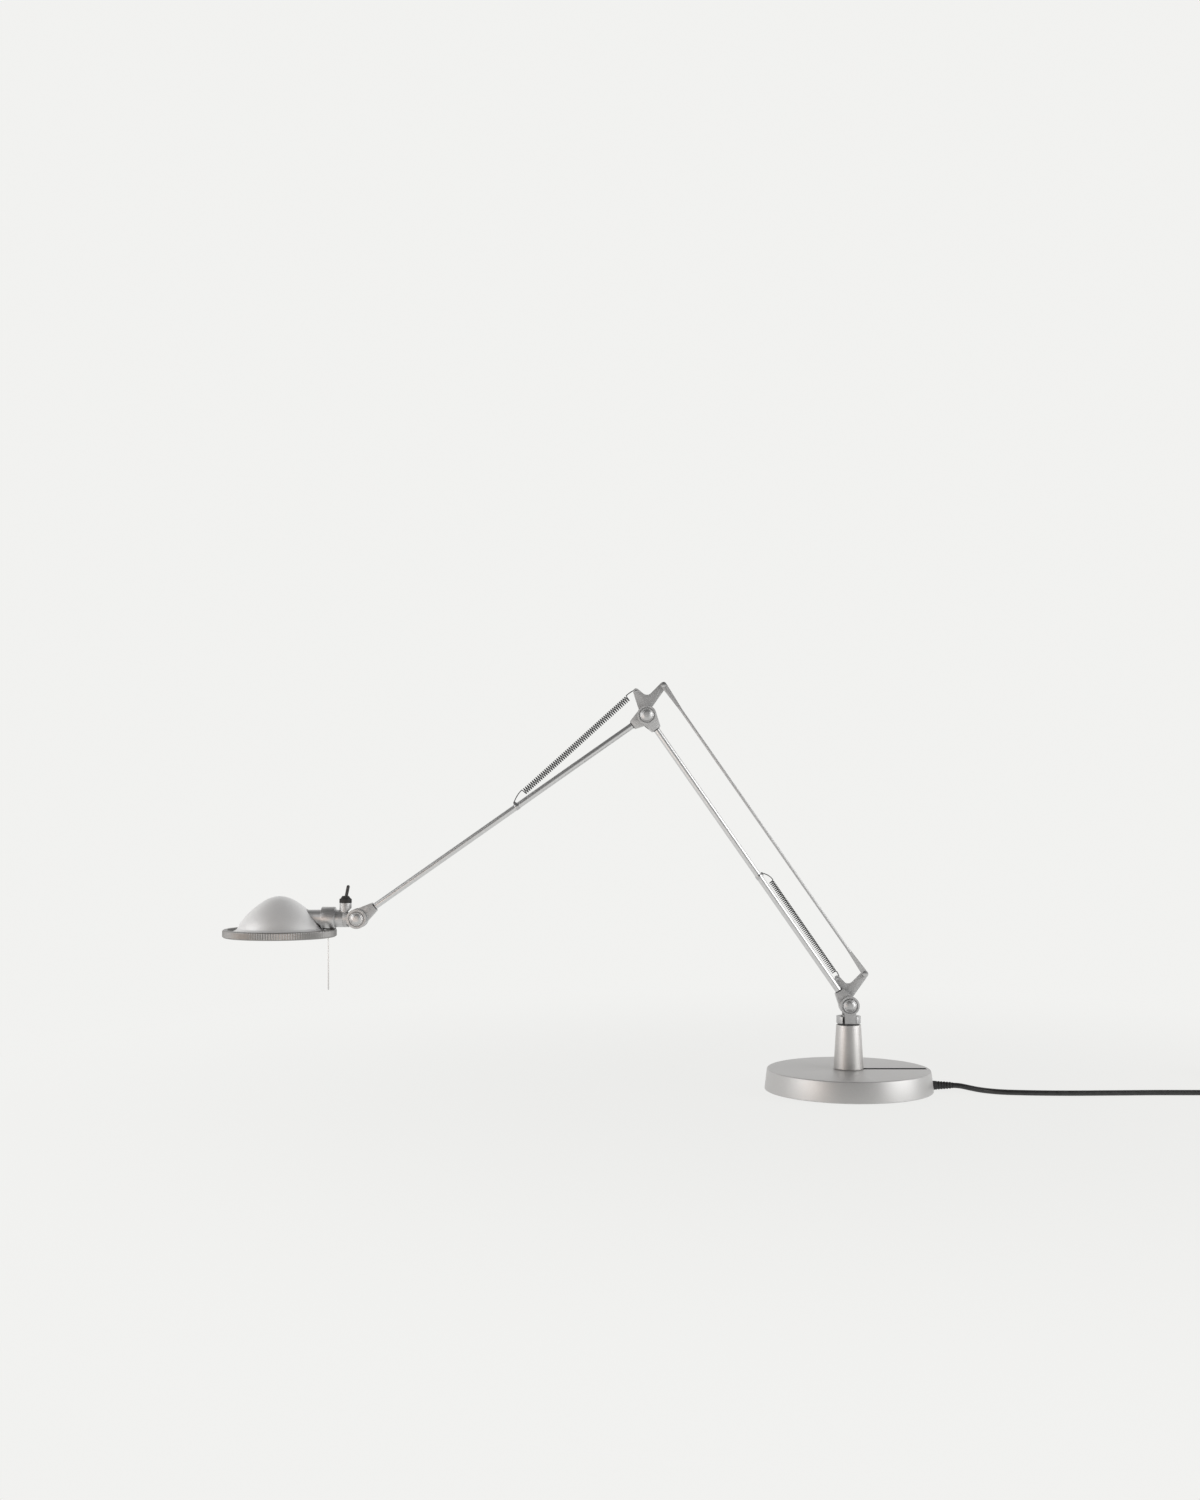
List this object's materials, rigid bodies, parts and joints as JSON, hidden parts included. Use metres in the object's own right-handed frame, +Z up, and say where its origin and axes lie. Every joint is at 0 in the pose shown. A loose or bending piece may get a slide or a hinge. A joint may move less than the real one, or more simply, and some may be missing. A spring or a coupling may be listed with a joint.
{
  "type": "desk lamp",
  "caption": "Architect desk lamp: weighted round base, two thin spring-balanced arms with a parallel rod, tilting flat halogen head, corded plug-in adaptor.",
  "frame": {"origin": "centre of the foot pad's underside, on the table", "axes": "+Z up, the head points to -X, the cord leaves to +X, +Y across the arms"},
  "size_m": [1.0721, 0.212, 0.4053],
  "materials": {
    "base_paint": "fine metallic grey paint, satin",
    "arm_alloy": "metallic grey paint over alloy, satin",
    "head_alloy": "satin silver",
    "iron": "rough black",
    "steel": "plain bright steel",
    "spring_steel": "dark oiled spring wire",
    "black_rubber": "matt black",
    "black_plastic": "fine textured black",
    "nylon": "natural nylon",
    "lamp_glass": "satin frosted glass",
    "reflector_metal": "bright spun",
    "ceramic": "white ceramic"
  },
  "bodies": {
    "base": {"base_cover": "base_paint", "groove_inlay": "black_rubber", "base_column": "base_paint", "column_nut": "steel", "ballast": "iron", "bottom_plate": "steel", "foot_pad": "black_rubber", "bottom_screws": "steel", "swivel_bush": "nylon", "stop_pin": "steel", "cord_gland": "black_rubber", "cord_lead": "black_rubber", "cord_coil": "black_rubber", "cord_tail": "black_rubber", "cord_tie": "black_plastic", "adaptor_body": "black_plastic", "adaptor_pins": "steel"},
    "swivel": {"swivel_yoke": "arm_alloy", "swivel_clip": "steel", "stop_collar": "arm_alloy", "base_bracket": "arm_alloy", "base_pin": "steel", "base_caps": "arm_alloy", "base_rod_pin": "steel", "base_spring_pin": "steel"},
    "lower_arm": {"lower_knuckle": "arm_alloy", "lower_tube": "arm_alloy", "lower_fork": "arm_alloy", "lower_sleeves": "black_plastic", "lower_spring_post": "steel", "lower_spring": "spring_steel"},
    "parallel_link": {"parallel_rod": "arm_alloy"},
    "elbow_link": {"elbow_bracket": "arm_alloy", "elbow_pin": "steel", "elbow_caps": "arm_alloy", "elbow_rod_pin": "steel", "elbow_spring_pin": "steel"},
    "upper_arm": {"upper_knuckle": "arm_alloy", "upper_tube": "arm_alloy", "upper_end": "arm_alloy", "upper_sleeves": "black_plastic", "upper_spring_post": "steel", "upper_spring": "spring_steel"},
    "neck": {"neck_fork": "arm_alloy", "neck_tube": "head_alloy", "neck_pin": "steel", "neck_caps": "arm_alloy", "switch_boot": "black_rubber"},
    "switch": {"switch_lever": "black_plastic"},
    "head": {"head_collar": "head_alloy", "collar_pad": "black_plastic", "shade_ring": "head_alloy", "ring_spokes": "head_alloy", "dome_cover": "head_alloy", "reflector": "reflector_metal", "lens": "lamp_glass", "lamp_holder": "ceramic", "bulb": "lamp_glass", "handle_rod": "steel"}
  },
  "joints": [
    {"name": "swivel_turn", "type": "hinge", "parent": "base", "child": "swivel", "pos_m": [0, 0, 0.06], "axis": [0, 0, 1], "range_deg": [-155, 155]},
    {"name": "lower_arm_tilt", "type": "hinge", "parent": "swivel", "child": "lower_arm", "pos_m": [0, 0, 0.0846], "axis": [0, 1, 0], "range_deg": [-20, 25], "deforming": ["lower_spring"]},
    {"name": "parallel_rod_swing", "type": "hinge", "parent": "swivel", "child": "parallel_link", "pos_m": [0.017, 0, 0.1151], "axis": [0, 1, 0], "range_deg": [-20, 25]},
    {"name": "elbow_link_turn", "type": "hinge", "parent": "lower_arm", "child": "elbow_link", "pos_m": [-0.20025, 0, 0.37165], "axis": [0, 1, 0], "range_deg": [-25, 20]},
    {"name": "upper_arm_swing", "type": "hinge", "parent": "elbow_link", "child": "upper_arm", "pos_m": [-0.20025, 0, 0.37165], "axis": [0, 1, 0], "range_deg": [-10, 60], "deforming": ["upper_spring"]},
    {"name": "head_tilt", "type": "hinge", "parent": "upper_arm", "child": "neck", "pos_m": [-0.4866, 0, 0.1704], "axis": [0, 1, 0], "range_deg": [-45, 40]},
    {"name": "head_roll", "type": "hinge", "parent": "neck", "child": "head", "pos_m": [-0.5146, 0, 0.1704], "axis": [1, 0, 0], "range_deg": [-90, 90]},
    {"name": "switch_toggle", "type": "hinge", "parent": "neck", "child": "switch", "pos_m": [-0.4986, 0, 0.1888], "axis": [0, 1, 0], "range_deg": [-22, 0]}
  ],
  "couplings": [
    {"joint": "parallel_rod_swing", "follows": "lower_arm_tilt", "ratio": 1},
    {"joint": "elbow_link_turn", "follows": "lower_arm_tilt", "ratio": -1}
  ]
}
